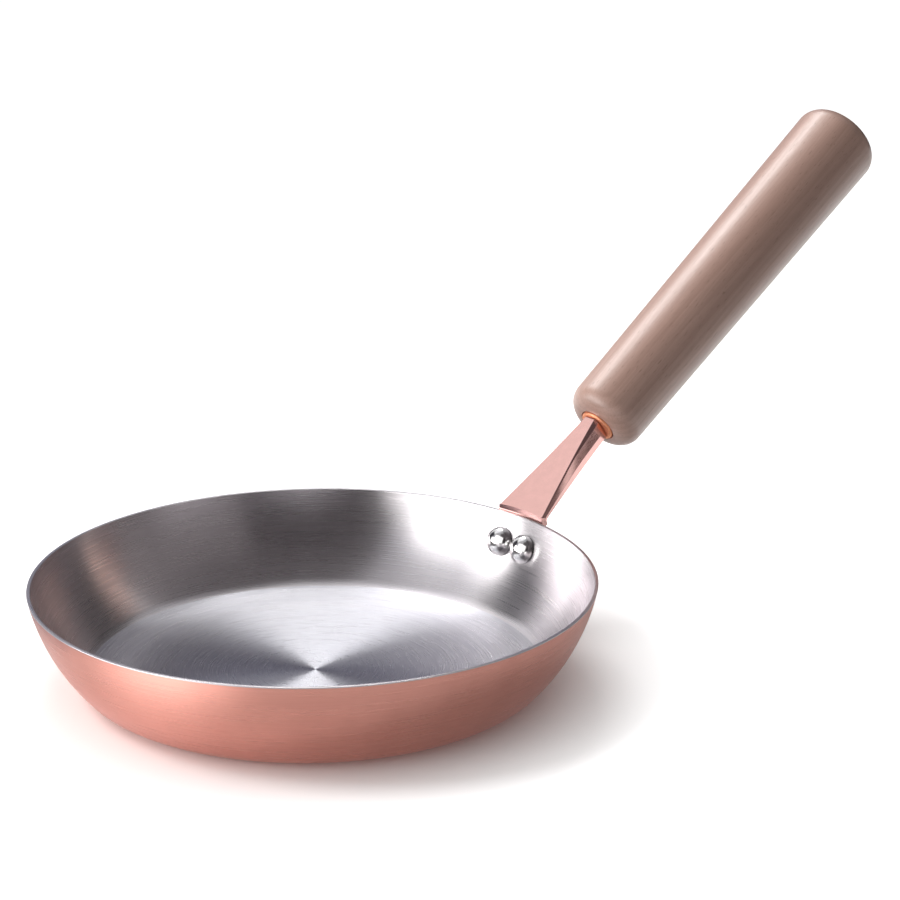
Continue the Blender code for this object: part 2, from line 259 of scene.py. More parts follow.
class Graph:
    """Short way to write the nodes of a material or a world."""

    def __init__(
        self, owner: bpy.types.Material | bpy.types.World, shader: str = "Principled BSDF"
    ) -> None:
        """Start the nodes.

        Args:
            owner: The new material or world.
            shader: Name of its shader node.
        """
        owner.use_nodes = True
        self.owner = owner
        self.tree = owner.node_tree
        self.shader = self.tree.nodes[shader]

    def node(self, kind: str, **settings: object) -> bpy.types.Node:
        """Add a shader node of a kind and give it its settings."""
        made = self.tree.nodes.new(f"ShaderNode{kind}")
        for key, value in settings.items():
            setattr(made, key, value)
        return made

    def feed(self, socket: Socket, value: object) -> None:
        """Link a socket to an output, or set it to a constant."""
        if isinstance(value, Socket):
            self.tree.links.new(value, socket)
        else:
            socket.default_value = value

    def set(self, **inputs: object) -> None:
        """Set the shader's sockets, named with underscores in place of spaces."""
        for key, value in inputs.items():
            name = key.replace("_", " ")
            if isinstance(value, tuple) and len(value) == 3:
                value = (*value, 1.0)
            self.feed(self.shader.inputs[name], value)

    def made(self, kind: str, inputs: Sequence[object], **settings: object) -> Socket:
        """Add a node, feed its inputs in their order and give its first output."""
        node = self.node(kind, **settings)
        for socket, value in zip(node.inputs, inputs):
            self.feed(socket, value)
        return node.outputs[0]

    def math(self, operation: str, *values: object) -> Socket:
        """Calculate with a Math node."""
        return self.made("Math", values, operation=operation)

    def times(self, first: object, second: object) -> Socket:
        """Multiply two values."""
        return self.math("MULTIPLY", first, second)

    def plus(self, first: object, second: object) -> Socket:
        """Add two values."""
        return self.math("ADD", first, second)

    def reach(self, x: Socket, y: Socket) -> Socket:
        """Distance of a point from the Z axis."""
        return self.math("SQRT", self.plus(self.times(x, x), self.times(y, y)))

    def stretched(self, parts: Sequence[Socket], scales: Triple) -> Socket:
        """Join three values into a vector, each times its own scale."""
        return self.made("CombineXYZ", [self.times(*pair) for pair in zip(parts, scales)])

    def remap(self, value: object, low: float, high: float, to_low: float, to_high: float) -> Socket:
        """Carry a value smoothly from one range to another, held at both ends."""
        ends = (value, low, high, to_low, to_high)
        return self.made("MapRange", ends, interpolation_type="SMOOTHSTEP")

    def share(self, value: object, low: float = 0.35, high: float = 0.65) -> Socket:
        """Carry a value smoothly from a range to the range from 0 to 1."""
        return self.remap(value, low, high, 0.0, 1.0)

    def noise(self, place: object, scale: float, detail: float = 2.0, roughness: float = 0.5) -> Socket:
        """Noise between 0 and 1."""
        made = self.node("TexNoise")
        names = ("Vector", "Scale", "Detail", "Roughness")
        for name, value in zip(names, (place, scale, detail, roughness)):
            self.feed(made.inputs[name], value)
        return made.outputs["Fac"]

    def blend(self, share: object, first: object, second: object) -> Socket:
        """Blend two colours."""
        made = self.node("Mix", data_type="RGBA")
        colours = [socket for socket in made.inputs if socket.type == "RGBA"]
        self.feed(made.inputs["Factor"], share)
        for socket, value in zip(colours, (first, second)):
            self.feed(socket, (*value, 1.0) if isinstance(value, tuple) else value)
        return next(socket for socket in made.outputs if socket.type == "RGBA")

    def bump(self, height: object, depth: float) -> Socket:
        """Turn a height between 0 and 1 into a normal, with its depth in metres."""
        made = self.node("Bump")
        made.inputs["Strength"].default_value = 1.0
        made.inputs["Distance"].default_value = depth
        self.feed(made.inputs["Height"], height)
        return made.outputs["Normal"]

    def place(self, matrix: Matrix | None = None) -> Socket:
        """Object coordinates, seen from a piece's own frame if one is given.

        Args:
            matrix: Place of the piece's own frame in the pan's frame.

        Returns:
            The coordinates.
        """
        coordinates = self.node("TexCoord").outputs["Object"]
        if matrix is None:
            return coordinates
        made = self.node("Mapping", vector_type="TEXTURE")
        self.feed(made.inputs["Vector"], coordinates)
        made.inputs["Location"].default_value = matrix.to_translation()
        made.inputs["Rotation"].default_value = matrix.to_euler()
        return made.outputs["Vector"]

    def split(self, vector: Socket) -> tuple[Socket, ...]:
        """The three parts of a vector."""
        made = self.node("SeparateXYZ")
        self.feed(made.inputs[0], vector)
        return tuple(made.outputs)

    def distance(self, place: Socket, point: Sequence[float]) -> Socket:
        """Distance of a place from a point."""
        made = self.node("VectorMath", operation="DISTANCE")
        self.feed(made.inputs[0], place)
        self.feed(made.inputs[1], point)
        return made.outputs["Value"]

    def seen_by(self, *rays: str) -> Socket:
        """1 for rays of the kinds named and 0 for all others."""
        path = self.node("LightPath").outputs
        share = path[rays[0]]
        for ray in rays[1:]:
            share = self.math("MAXIMUM", share, path[ray])
        return share


@dataclass(frozen=True)
class SpunBrushing:
    """Metal brushed around the pan's axis, seen as fine rings and long arcs."""

    name: str
    colour: Triple
    tint: Triple
    roughness: float
    anisotropy: float
    fine_width: float = 0.00028
    broad_width: float = 0.0012
    broad_share: float = 0.4
    stroke: float = 2.0
    dash_stroke: float = 16.0
    dash_share: float = 0.2
    band_count: float = 7.0
    band_scale: float = 12.0
    band_share: float = 0.4
    hub_radius: float = 0.0005
    groove_depth: float = 0.000008
    contrast: float = 0.04

    def turned(self, graph: Graph) -> tuple[Socket, ...]:
        """Direction around the pan's axis as two parts, distance from it and height."""
        x, y, z = graph.split(graph.place())
        radius = graph.reach(x, y)
        guarded = graph.math("MAXIMUM", radius, self.hub_radius)
        return graph.math("DIVIDE", x, guarded), graph.math("DIVIDE", y, guarded), radius, z

    def rings(self, graph: Graph, width: float, stroke: float) -> Socket:
        """Noise drawn out into arcs around the axis.

        Args:
            graph: The material's nodes.
            width: Width of a line in metres.
            stroke: How often the lines begin again in a radian.

        Returns:
            A value between 0 and 1.
        """
        turn_x, turn_y, radius, z = self.turned(graph)
        across = graph.math("DIVIDE", graph.plus(radius, z), width)
        place = graph.stretched((turn_x, turn_y, across), (stroke, stroke, 1.0))
        return graph.noise(place, 1.0, detail=0.0)

    def bands(self, graph: Graph) -> Socket:
        """Soft upright bands around the wall."""
        turn_x, turn_y, _, z = self.turned(graph)
        scales = (self.band_count, self.band_count, self.band_scale)
        return graph.noise(graph.stretched((turn_x, turn_y, z), scales), 1.0)

    def material(self) -> bpy.types.Material:
        """Build the material."""
        graph = Graph(bpy.data.materials.new(self.name))
        fine = self.rings(graph, self.fine_width, 2 * self.stroke)
        broad = self.rings(graph, self.broad_width, self.stroke)
        dashes = self.rings(graph, self.fine_width, self.dash_stroke)
        broad = graph.times(broad, self.broad_share)
        streaks = graph.plus(graph.times(fine, 1.0 - self.broad_share), broad)
        shade = graph.times(graph.share(streaks, 0.3, 0.7), 1.0 - self.band_share)
        bands = graph.times(graph.share(self.bands(graph), 0.3, 0.7), self.band_share)
        rough, smooth = self.roughness + self.contrast, self.roughness - self.contrast
        height = graph.plus(streaks, graph.times(dashes, self.dash_share))
        tangent = graph.node("Tangent", direction_type="RADIAL", axis="Z")
        graph.set(
            Base_Color=graph.blend(graph.plus(shade, bands), self.tint, self.colour),
            Metallic=1.0,
            Roughness=graph.remap(streaks, 0.25, 0.75, rough, smooth),
            Anisotropic=self.anisotropy,
            Anisotropic_Rotation=0.25,
            Normal=graph.bump(height, self.groove_depth),
            Tangent=tangent.outputs[0],
        )
        return graph.owner


@dataclass(frozen=True)
class Polish:
    """Polished metal with faint wiping marks and a slight waviness."""

    name: str
    colour: Triple
    roughness: float
    wave_depth: float = 0.00002
    wave_size: float = 0.006
    marks: float = 0.04
    mark_scale: float = 260.0
    paler: float = 1.05

    def material(self) -> bpy.types.Material:
        """Build the material."""
        graph = Graph(bpy.data.materials.new(self.name))
        place = graph.place()
        waves = graph.noise(place, 1.0 / self.wave_size, detail=1.0)
        wiped = graph.noise(place, self.mark_scale, detail=4.0, roughness=0.65)
        paler = tuple(min(1.0, part * self.paler) for part in self.colour)
        graph.set(
            Base_Color=graph.blend(graph.share(wiped), self.colour, paler),
            Metallic=1.0,
            Roughness=graph.remap(wiped, 0.3, 0.7, self.roughness, self.roughness + self.marks),
            Normal=graph.bump(waves, self.wave_depth),
        )
        return graph.owner


@dataclass(frozen=True)
class TurnedMetal:
    """Plain turned or rolled metal of the pieces inside the pan and the grip."""

    name: str
    colour: Triple
    roughness: float
    pitch: float
    spread: float = 0.08
    darker: float = 0.8
    spot_scale: float = 400.0
    groove_depth: float = 0.00001

    def material(self, frame: Matrix) -> bpy.types.Material:
        """Build the material.

        Args:
            frame: Place of the turning axis, whose Z the tool marks go around.

        Returns:
            The material.
        """
        graph = Graph(bpy.data.materials.new(self.name))
        place = graph.place(frame)
        along = graph.math("DIVIDE", graph.split(place)[2], self.pitch)
        lines = graph.noise(graph.made("CombineXYZ", (0.0, 0.0, along)), 1.0)
        spots = graph.noise(place, self.spot_scale, detail=3.0)
        darker = tuple(part * self.darker for part in self.colour)
        smooth, rough = self.roughness - self.spread, self.roughness + self.spread
        graph.set(
            Base_Color=graph.blend(graph.share(spots), darker, self.colour),
            Metallic=1.0,
            Roughness=graph.remap(lines, 0.3, 0.7, smooth, rough),
            Normal=graph.bump(lines, self.groove_depth),
        )
        return graph.owner


@dataclass(frozen=True)
class Beech:
    """Oiled beech, turned with its grain along the grip."""

    name: str = "satin_beech"
    pale: Triple = (0.52, 0.335, 0.275)
    middle: Triple = (0.45, 0.28, 0.225)
    dark: Triple = (0.32, 0.19, 0.148)
    fleck: Triple = (0.24, 0.14, 0.105)
    ring_spacing: float = 0.0030
    ring_drift: float = 0.006
    ring_share: float = 0.24
    pith: Point2 = (0.085, 0.030)
    cloud_scale: Triple = (60.0, 60.0, 9.0)
    fibre_scale: Triple = (1500.0, 1500.0, 40.0)
    fibre_share: float = 0.28
    fleck_scale: Triple = (2200.0, 2200.0, 330.0)
    fleck_share: float = 0.6
    roughness: float = 0.42
    pore_depth: float = 0.00004
    coat: float = 0.7
    coat_roughness: float = 0.33

    def material(self, frame: Matrix) -> bpy.types.Material:
        """Build the material.

        Args:
            frame: Place of the grip, whose Z runs along the grain.

        Returns:
            The material.
        """
        graph = Graph(bpy.data.materials.new(self.name))
        parts = graph.split(graph.place(frame))
        slow = graph.stretched(parts, self.cloud_scale)
        drift = graph.times(graph.math("SUBTRACT", graph.noise(slow, 1.0), 0.5), self.ring_drift)
        reach = graph.reach(graph.plus(parts[0], self.pith[0]), graph.plus(parts[1], self.pith[1]))
        ring = graph.math("FRACT", graph.math("DIVIDE", graph.plus(reach, drift), self.ring_spacing))
        late = graph.times(graph.share(ring, 0.25, 0.95), self.ring_share)
        fibres = graph.noise(graph.stretched(parts, self.fibre_scale), 1.0, detail=3.0, roughness=0.6)
        streaks = graph.times(graph.share(fibres, 0.35, 0.7), self.fibre_share)
        flecks = graph.noise(graph.stretched(parts, self.fleck_scale), 1.0, detail=1.0)
        flecks = graph.share(flecks, 0.66, 0.74)
        clouds = graph.share(graph.noise(slow, 0.7, detail=3.0))
        body = graph.blend(clouds, self.middle, self.pale)
        grain = graph.blend(streaks, graph.blend(late, body, self.dark), self.dark)
        pores = graph.math("SUBTRACT", graph.times(fibres, 0.6), graph.times(flecks, 0.4))
        graph.set(
            Base_Color=graph.blend(graph.times(flecks, self.fleck_share), grain, self.fleck),
            Roughness=graph.remap(fibres, 0.3, 0.7, self.roughness - 0.05, self.roughness + 0.07),
            Normal=graph.bump(pores, self.pore_depth),
            Coat_Weight=self.coat,
            Coat_Roughness=self.coat_roughness,
        )
        return graph.owner


COPPER = SpunBrushing(
    name="brushed_copper",
    colour=(0.83, 0.40, 0.33),
    tint=(0.77, 0.36, 0.295),
    roughness=0.30,
    anisotropy=0.60,
    groove_depth=0.000005,
    dash_share=0.0,
)
WALL_STEEL = SpunBrushing(
    name="brushed_wall_steel",
    colour=(0.79, 0.755, 0.77),
    tint=(0.70, 0.665, 0.68),
    roughness=0.29,
    anisotropy=0.72,
    fine_width=0.00022,
    broad_width=0.0008,
    dash_share=0.05,
    groove_depth=0.0000017,
    contrast=0.03,
)
FLOOR_STEEL = SpunBrushing(
    name="spun_floor_steel",
    colour=(0.77, 0.765, 0.795),
    tint=(0.64, 0.635, 0.68),
    roughness=0.30,
    anisotropy=0.94,
    dash_share=0.35,
    broad_share=0.3,
    band_share=0.15,
    groove_depth=0.000007,
)
RIVET_STEEL = Polish("polished_rivet_steel", (0.80, 0.79, 0.78), 0.13, wave_depth=0.0)
ROSE_COPPER = Polish("polished_rose_copper", (0.82, 0.49, 0.45), 0.12)
COLLAR_COPPER = Polish("bright_collar_copper", (0.93, 0.41, 0.23), 0.50, wave_depth=0.0)
STUD_ZINC = TurnedMetal("zinc_plate", (0.62, 0.63, 0.64), 0.36, 0.0007)
INSERT_BRASS = TurnedMetal("turned_brass", (0.78, 0.62, 0.32), 0.30, 0.0008)


# The pan's body


@dataclass(frozen=True)
class PanWall:
    """Outer surface of the pan in section: flat base, corner arc and convex wall arc."""

    rim_radius: float = 0.1000
    height: float = 0.0361
    base_radius: float = 0.0744
    corner_radius: float = 0.0130
    corner_angle: float = math.radians(48.2)
    copper_ply: float = 0.0005
    steel_ply: float = 0.0004
    lip: float = 0.0004
    seam: float = 0.00005

    @property
    def thickness(self) -> float:
        """Whole thickness of the two sheets and the gap between them."""
        return self.copper_ply + self.steel_ply + FIT_GAP

    @property
    def sheet_top(self) -> float:
        """Height at which the copper stops, close under the steel lip."""
        return self.height - self.lip - self.seam

    def corner_point(self, inset: float, angle: float) -> Point2:
        """Point on the corner arc, inset from the outer surface."""
        reach = self.corner_radius - inset
        return (self.base_radius + reach * math.sin(angle), self.corner_radius - reach * math.cos(angle))

    def wall_arc(self) -> tuple[Point2, float]:
        """Centre and radius of the wall's arc, which leaves the corner without a kink."""
        foot = Vector(self.corner_point(0.0, self.corner_angle))
        inward = Vector((-math.sin(self.corner_angle), math.cos(self.corner_angle)))
        chord = Vector((self.rim_radius, self.height)) - foot
        radius = chord.length_squared / (2 * inward.dot(chord))
        centre = foot + inward * radius
        return (centre.x, centre.y), radius

    def radius_at(self, inset: float, height: float) -> float:
        """Radius of the wall at a height, carried upright above the rim.

        Args:
            inset: Distance in from the outer surface.
            height: Height above the base.

        Returns:
            The distance from the pan's axis.
        """
        centre, radius = self.wall_arc()
        reach = radius - inset
        return centre[0] + math.sqrt(reach ** 2 - (centre[1] - min(height, self.height)) ** 2)

    def slope_at(self, height: float) -> float:
        """Angle of the outer wall above the horizontal at a height."""
        centre, radius = self.wall_arc()
        return math.pi / 2 - math.asin((centre[1] - height) / radius)

    def section(
        self, inset: float, top: float, steps: int = 28, corner_start: float = 0.0
    ) -> list[Point2]:
        """Section from a height on the wall down to the corner's start, inset from the outer surface.

        Args:
            inset: Distance in from the outer surface.
            top: Height at which the section starts.
            steps: Straight pieces in each of the two arcs.
            corner_start: Angle at which the corner's arc starts, above the flat base.

        Returns:
            The points, from the top down.
        """
        centre, radius = self.wall_arc()
        reach = radius - inset
        start = -math.asin((centre[1] - top) / reach)
        foot = self.corner_angle - math.pi / 2
        wall = arc(centre, reach, start, foot, steps)[:-1]
        angles = even(self.corner_angle, corner_start, steps)
        return wall + [self.corner_point(inset, angle) for angle in angles]


@dataclass
class PanBody:
    """Copper outside and steel lining, bonded into one body."""

    wall: PanWall = PanWall()
    turn_steps: int = 360
    floor_flat_radius: float = 0.0690
    crease_radius: float = 0.0804
    crease_rise_steps: int = 8
    crease_sharp: float = math.radians(9.0)
    rim_round: float = 0.00016
    rim_steps: int = 5

    def copper_shell(self) -> Piece:
        """Outer sheet, whose edge stops under the steel lip."""
        wall = self.wall
        outer = wall.section(0.0, wall.sheet_top)
        inner = wall.section(wall.copper_ply, wall.sheet_top)
        section = [(0.0, wall.copper_ply)] + inner[::-1] + outer + [(0.0, 0.0)]
        return spun("copper_outside", section, self.turn_steps)

    def crease_angle(self) -> float:
        """Angle on the inner corner arc at which the spun floor meets the brushed wall."""
        reach = self.wall.corner_radius - self.wall.thickness
        return math.asin((self.crease_radius - self.wall.base_radius) / reach)

    def floor_edge(self) -> list[Point2]:
        """Gentle rise of the spun floor, from its flat part out to the crease."""
        crease = self.wall.corner_point(self.wall.thickness, self.crease_angle())
        run = self.crease_radius - self.floor_flat_radius
        rise = crease[1] - self.wall.thickness
        return [
            (self.floor_flat_radius + run * share, self.wall.thickness + rise * share ** 2)
            for share in even(0.0, 1.0, self.crease_rise_steps)[:-1]
        ]

    def rim_section(self) -> list[Point2]:
        """Edge of the steel, from inside over the top and down under the lip."""
        wall = self.wall
        lip_under = wall.height - wall.lip
        edge = wall.height - self.rim_round
        inside = wall.radius_at(wall.thickness, edge) + self.rim_round
        outside = wall.rim_radius - self.rim_round
        over = arc((inside, edge), self.rim_round, math.pi, math.pi / 2, self.rim_steps)
        down = arc((outside, edge), self.rim_round, math.pi / 2, 0.0, self.rim_steps)
        return over + down + [(wall.radius_at(0.0, lip_under), lip_under)]

    def steel_lining(self) -> Piece:
        """Inner sheet with its spun floor, brushed wall and turned-out lip."""
        wall = self.wall
        outer_inset = wall.thickness - wall.steel_ply
        inner_top = wall.height - 1.5 * self.rim_round
        inner = wall.section(wall.thickness, inner_top, corner_start=self.crease_angle())
        outer = wall.section(outer_inset, wall.height - wall.lip)
        section = [(0.0, wall.thickness)] + self.floor_edge() + inner[::-1]
        section += self.rim_section() + outer + [(0.0, outer_inset)]
        return spun("steel_inside", section, self.turn_steps, sharp=self.crease_sharp)

    def build(self) -> None:
        """Build the sheets, dress them and put them in place of their nodes."""
        shell = self.copper_shell()
        lining = self.steel_lining()
        for face in lining.data.polygons:
            if face.normal.z > 0.0 and face.center.xy.length < self.crease_radius:
                face.material_index = 1
        steels = (WALL_STEEL.material(), FLOOR_STEEL.material())
        settle(shell, Slot.COPPER, "copper_shell", COPPER.material())
        settle(lining, Slot.BRUSHED_STEEL, "steel_lining", *steels)


# The handle


@dataclass(frozen=True)
class HandleAxis:
    """Line of the handle, which leaves the pan just above its rim."""

    elevation: float = math.radians(34.7)
    outside_rim: float = 0.0015
    above_rim: float = 0.0011
    reach: float = 0.0466

    def frame(self, wall: PanWall) -> Matrix:
        """Frame at the grip's near end, whose Z axis runs along the handle, away from the pan."""
        root = Vector((wall.rim_radius + self.outside_rim, 0.0, wall.height + self.above_rim))
        along = Vector((math.cos(self.elevation), 0.0, math.sin(self.elevation)))
        turn = Matrix.Rotation(math.pi / 2 - self.elevation, 4, "Y")
        return Matrix.Translation(root + along * self.reach) @ turn


@dataclass
class HandleBracket:
    """Riveted casting: a flange that hugs the wall and a faceted stem that rises from it."""

    wall: PanWall
    axis: HandleAxis
    root_half_width: float = 0.01115
    end_half_width: float = 0.00225
    root_rise: float = 0.00180
    root_drop: float = 0.00100
    end_half_height: float = 0.00550
    taper_power: float = 1.15
    chamfer_at_root: float = 0.00040
    chamfer_at_end: float = 0.00145
    chamfer_run: float = 0.0240
    side_draft: float = 0.00035
    parting_at_root: float = 0.00050
    parting_at_end: float = -0.00090
    under_fillet: float = 0.0018
    buried: float = 0.0040
    end_inside: float = -0.0012
    flange_thickness: float = 0.0015
    flange_rise: float = 0.0020
    flange_drop: float = 0.0215
    flange_top_half_width: float = 0.0116
    flange_half_width: float = 0.0136
    shoulder_drop: float = 0.0090
    flange_corner: float = 0.0085
    edge_round: float = 0.00018
    flange_round: float = 0.00045
    root_round: float = 0.00045
    envelope_rise: float = 0.0100
    ridge_angle: float = math.radians(4.0)
    root_angle: float = math.radians(20.0)
    border_angle: float = math.radians(50.0)
    columns: int = 28
    rows: int = 16
    corner_rows: int = 12
    stations: int = 24
    fillet_stations: int = 8
    envelope_steps: int = 360

    def stem_ring(self, along: float) -> list[Vector]:
        """Ten corners of the stem at a distance along the handle, from the grip's end.

        Args:
            along: Distance along the handle, negative towards the pan.

        Returns:
            The corners in the handle's frame.
        """
        from_grip = min(max(-along, 0.0), self.axis.reach)
        share = from_grip / self.axis.reach
        half_width = mixed(self.end_half_width, self.root_half_width, share ** self.taper_power)
        top = mixed(self.end_half_height, self.root_rise, share)
        bottom = mixed(self.end_half_height, self.root_drop, share)
        eased = min(from_grip / self.chamfer_run, 1.0)
        eased = eased * eased * (3 - 2 * eased)
        chamfer = mixed(self.chamfer_at_end, self.chamfer_at_root, eased)
        parting = mixed(self.parting_at_end, self.parting_at_root, share)
        turn = min(max((from_grip - self.axis.reach + self.under_fillet) / self.under_fillet, 0.0), 1.0)
        bottom += self.under_fillet * (1 - math.sqrt(1 - turn ** 2))
        side = half_width + chamfer
        right = [
            (top, half_width),
            (top - chamfer, side),
            (parting, side + self.side_draft),
            (chamfer - bottom, side),
            (-bottom, half_width),
        ]
        left = [(height, -width) for height, width in reversed(right)]
        return [Vector((-height, width, along)) for height, width in right + left]

    def stem(self) -> Piece:
        """Stem, drawn out ring by ring from the grip's end to inside the flange."""
        fillet_start = self.under_fillet - self.axis.reach
        places = even(self.end_inside, fillet_start, self.stations)[:-1]
        for turn in even(0.0, math.pi / 2, self.fillet_stations):
            places.append(fillet_start - self.under_fillet * math.sin(turn))
        places.append(-self.axis.reach - self.buried)
        shape = bmesh.new()
        ring = [shape.verts.new(corner) for corner in self.stem_ring(places[0])]
        cap = shape.faces.new(ring)
        for along in places[1:]:
            drawn = bmesh.ops.extrude_discrete_faces(shape, faces=[cap])
            cap = drawn["faces"][0]
            for corner, target in zip(cap.verts, self.stem_ring(along)):
                corner.co = target
        shape.faces.new(ring)
        bmesh.ops.remove_doubles(shape, verts=shape.verts, dist=MERGE)
        bmesh.ops.recalc_face_normals(shape, faces=shape.faces)
        lengthwise = [
            edge
            for edge in bends(shape, self.ridge_angle)
            if abs(edge.verts[0].co.z - edge.verts[1].co.z) > MERGE
        ]
        rounded(shape, lengthwise, self.edge_round, steps=2)
        return finished("stem", shape, self.axis.frame(self.wall))

    def flange_half_width_at(self, height: float) -> float:
        """Half width of the flange at a height above the rim."""
        if height > -self.shoulder_drop:
            share = (self.flange_rise - height) / (self.flange_rise + self.shoulder_drop)
            return mixed(self.flange_top_half_width, self.flange_half_width, share)
        corner_top = self.flange_corner - self.flange_drop
        if height > corner_top:
            return self.flange_half_width
        dip = min(corner_top - height, self.flange_corner)
        corner_reach = math.sqrt(self.flange_corner ** 2 - dip ** 2)
        return self.flange_half_width - self.flange_corner + corner_reach

    def flange_row(self, height: float) -> list[Vector]:
        """Points of the flange's inner face at a height above the rim."""
        half = self.flange_half_width_at(height)
        radius = self.wall.radius_at(-FIT_GAP, self.wall.height + height)
        row = []
        for i in range(self.columns + 1):
            width = half * (2 * i / self.columns - 1)
            depth = math.sqrt(radius ** 2 - width ** 2)
            row.append(Vector((depth, width, self.wall.height + height)))
        return row

    def flange(self) -> Piece:
        """Flange, drawn down row by row on the wall and given its thickness outwards."""
        corner_top = self.flange_corner - self.flange_drop
        heights = even(self.flange_rise, corner_top, self.rows)[:-1]
        for turn in even(0.0, math.pi / 2, self.corner_rows):
            heights.append(corner_top - self.flange_corner * math.sin(turn))
        shape = bmesh.new()
        row = [shape.verts.new(point) for point in self.flange_row(heights[0])]
        edges = [shape.edges.new(pair) for pair in zip(row, row[1:])]
        for height in heights[1:]:
            drawn = bmesh.ops.extrude_edge_only(shape, edges=edges)["geom"]
            corners = [item for item in drawn if isinstance(item, bmesh.types.BMVert)]
            corners.sort(key=lambda corner: corner.co.y)
            for corner, target in zip(corners, self.flange_row(height)):
                corner.co = target
            edges = [item for item in drawn if isinstance(item, bmesh.types.BMEdge)]
        bmesh.ops.recalc_face_normals(shape, faces=shape.faces)
        if sum(face.normal.x for face in shape.faces) < 0:
            bmesh.ops.reverse_faces(shape, faces=shape.faces)
        bmesh.ops.solidify(shape, geom=shape.faces, thickness=-self.flange_thickness)
        bmesh.ops.recalc_face_normals(shape, faces=shape.faces)
        rounded(shape, bends(shape, self.border_angle), self.flange_round, steps=4)
        return finished("handle_casting", shape)

    def envelope(self) -> Piece:
        """Solid of the pan's outside with its gap, carried upright above the rim."""
        wall = self.wall
        outer = wall.section(-FIT_GAP, wall.height)
        top = wall.height + self.envelope_rise
        section = [(0.0, top), (outer[0][0], top)] + outer + [(0.0, outer[-1][1])]
        return spun("pan_envelope", section, self.envelope_steps)

    def ease_root(self, casting: Piece) -> None:
        """Round the edge at which the stem's top ends above the rim."""
        shape = bmesh.new()
        shape.from_mesh(casting.data)
        bmesh.ops.remove_doubles(shape, verts=shape.verts, dist=10 * MERGE)
        cut = self.wall.radius_at(-FIT_GAP, self.wall.height)
        edges = []
        for edge in bends(shape, self.root_angle):
            ends = [vert.co for vert in edge.verts]
            on_cut = all(abs(end.xy.length - cut) < 20 * MERGE for end in ends)
            above = all(end.z > self.wall.height + self.root_round for end in ends)
            if on_cut and above:
                edges.append(edge)
        rounded(shape, edges, self.root_round, steps=4)
        log.info("%d edges of the stem's root are rounded", len(edges))
        shape.to_mesh(casting.data)
        shape.free()

    def build(self, bores: Sequence[Piece]) -> None:
        """Join the flange and the stem, bore them and dress the casting.

        Args:
            bores: Solids of the holes, which are used up.
        """
        casting = self.flange()
        combined(casting, [self.stem()], "UNION")
        combined(casting, [self.envelope()], "DIFFERENCE")
        self.ease_root(casting)
        combined(casting, bores, "DIFFERENCE")
        sealed(casting)
        casting.data.shade_smooth()
        casting.data.set_sharp_from_angle(angle=SHARP_EDGE)
        even = casting.modifiers.new("even_normals", "WEIGHTED_NORMAL")
        even.keep_sharp = True
        casting.data.materials.clear()
        settle(casting, Slot.POLISHED_COPPER, "handle_bracket", ROSE_COPPER.material())


@dataclass
class Rivets:
    """Two rivets through the wall and the flange."""

    wall: PanWall
    spacing: float = 0.0128
    drop: float = 0.0112
    shank_radius: float = 0.0026
    head_radius: float = 0.0055
    head_height: float = 0.0044
    tail_radius: float = 0.0046
    tail_height: float = 0.0018
    flange_thickness: float = 0.0015
    turn_steps: int = 64
    dome_steps: int = 20
    head_sharp: float = math.radians(40.0)

    def frame(self, side: int) -> Matrix:
        """Frame on the outer wall whose Z axis points square into the pan.

        Args:
            side: 1 for the rivet on +Y and -1 for the one on -Y.

        Returns:
            The rivet's frame.
        """
        height = self.wall.height - self.drop
        radius = self.wall.radius_at(0.0, height)
        turn = Matrix.Rotation(math.asin(side * self.spacing / 2 / radius), 4, "Z")
        lean = Matrix.Rotation(-self.wall.slope_at(height), 4, "Y")
        return turn @ Matrix.Translation((radius, 0.0, height)) @ lean

    def bore(self, side: int) -> Piece:
        """Solid of a rivet's hole."""
        reach = 2 * (self.wall.thickness + self.flange_thickness)
        radius = self.shank_radius + FIT_GAP
        section = [(0.0, -reach), (radius, -reach), (radius, reach), (0.0, reach)]
        return spun(f"rivet_hole_{side}", section, self.turn_steps, self.frame(side))

    def dome(self, radius: float, rise: float, seat: float) -> list[Point2]:
        """Section of a head from its edge to its crown; a negative rise points it down."""
        points = [
            (radius * math.cos(angle), seat + rise * math.sin(angle))
            for angle in even(0.0, math.pi / 2, self.dome_steps)
        ]
        points[-1] = (0.0, seat + rise)
        return points

    def build(self) -> None:
        """Build both rivets and dress them."""
        _, wall_radius = self.wall.wall_arc()
        hollow = self.head_radius ** 2 / (2 * (wall_radius - self.wall.thickness))
        inside = self.wall.thickness + FIT_GAP + hollow
        outside = -(2 * FIT_GAP + self.flange_thickness)
        section = self.dome(self.head_radius, self.head_height, inside)[::-1]
        section += [(self.shank_radius, inside), (self.shank_radius, outside)]
        section += self.dome(self.tail_radius, -self.tail_height, outside)
        finish = RIVET_STEEL.material()
        for side, node in ((1, "rivet_left"), (-1, "rivet_right")):
            name = f"{node}_round"
            rivet = spun(name, section, self.turn_steps, self.frame(side), sharp=self.head_sharp)
            settle(rivet, Slot.POLISHED_STEEL, node, finish)


